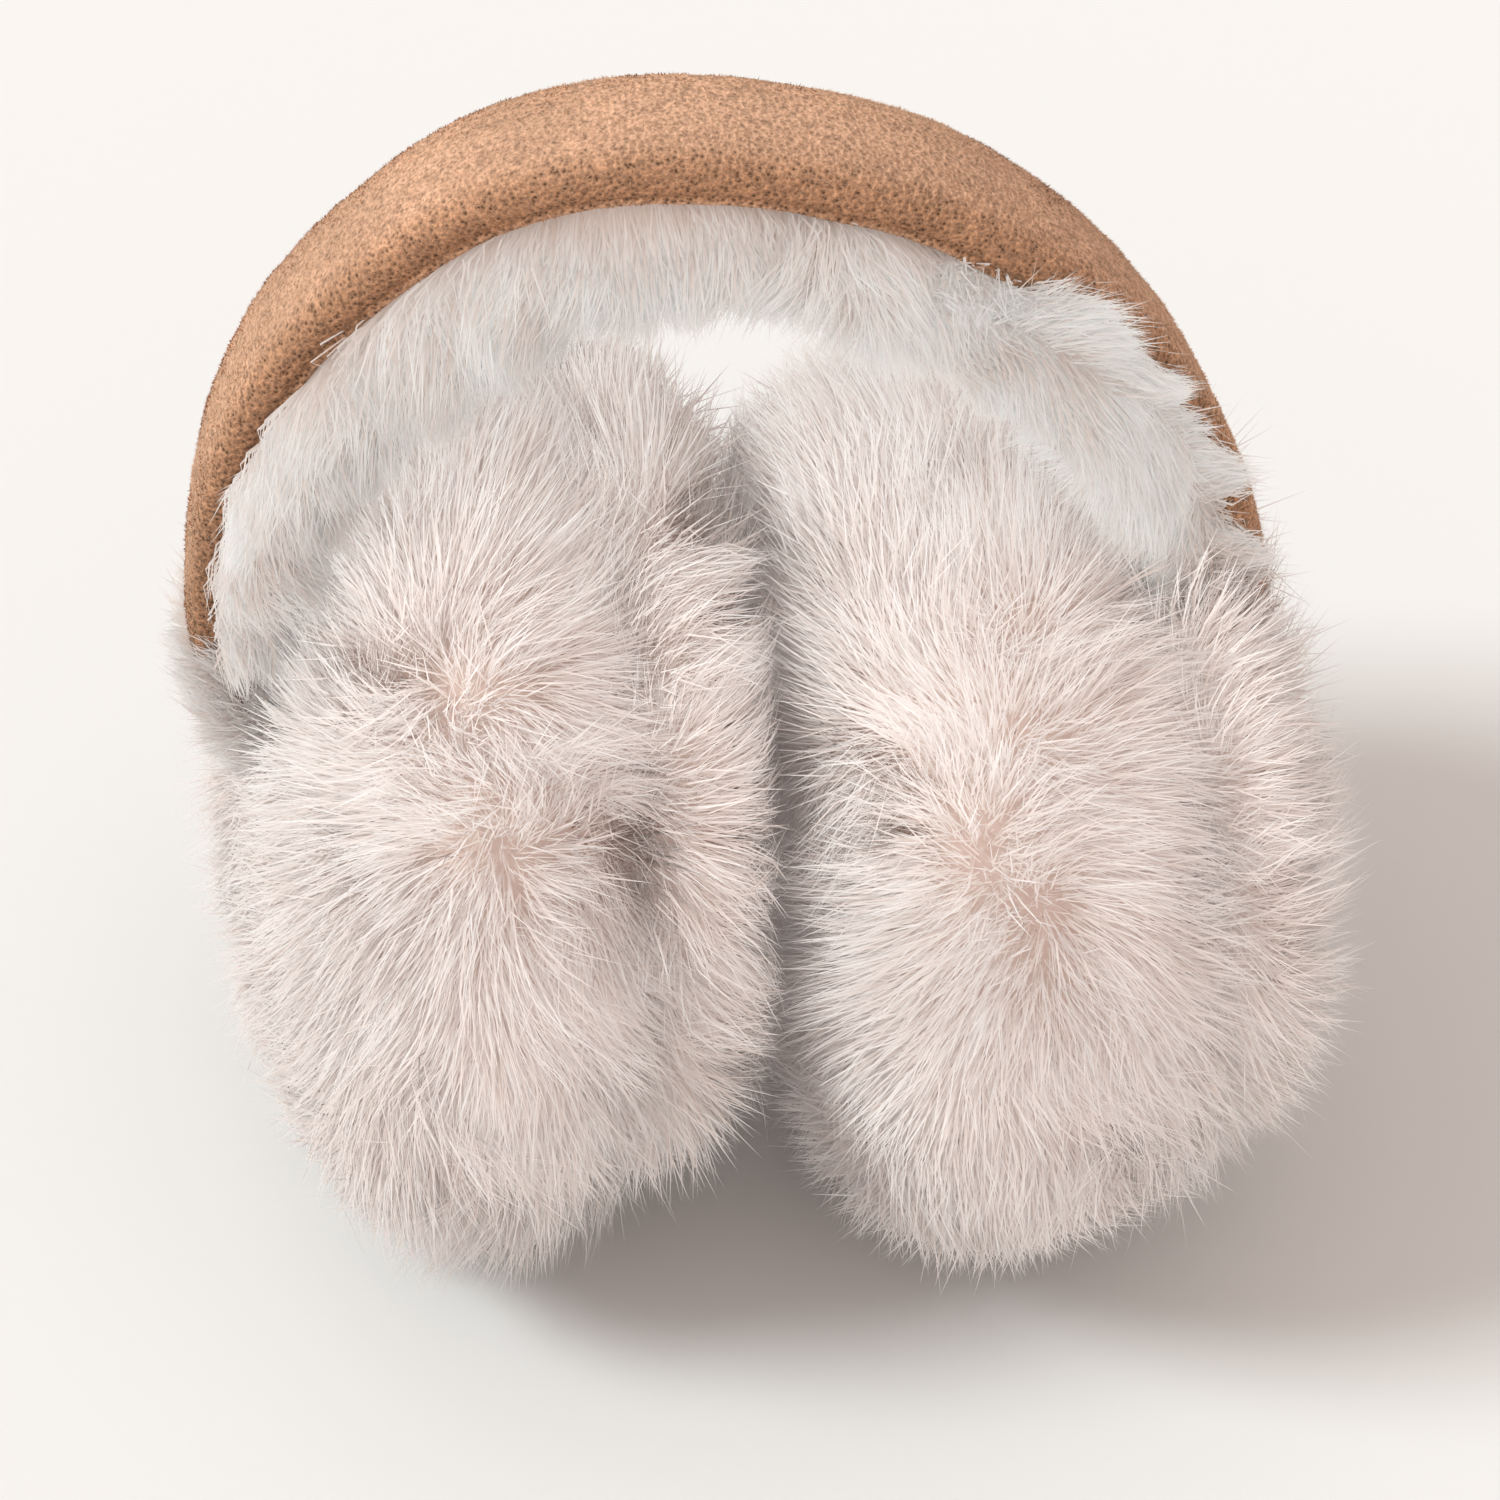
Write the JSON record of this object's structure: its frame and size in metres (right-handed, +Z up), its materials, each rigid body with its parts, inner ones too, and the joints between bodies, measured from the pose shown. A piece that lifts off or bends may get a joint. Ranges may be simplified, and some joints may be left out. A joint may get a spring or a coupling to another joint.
{
  "type": "fur earmuffs",
  "caption": "Plush fur earmuffs: a padded suede headband arched over two thick round ear muffs, with a fur lining under the crown.",
  "frame": {"origin": "on the ground under the middle of the whole earmuffs' box", "axes": "+Z up from the muffs to the crown of the headband, +X from the left muff to the right muff as seen from the front, -Y towards the front"},
  "size_m": [0.1652, 0.1324, 0.1887],
  "materials": {
    "suede": "soft tan suede with a short nap",
    "lining_fur": "cream plush fur, combed down from the band",
    "muff_fur": "deep cream plush fur with pinkish roots"
  },
  "bodies": {
    "root": {"suede_band": "suede", "band_lining": "lining_fur", "left_muff_outer": "muff_fur", "left_muff_inner": "muff_fur", "right_muff_outer": "muff_fur", "right_muff_inner": "muff_fur"}
  },
  "joints": []
}
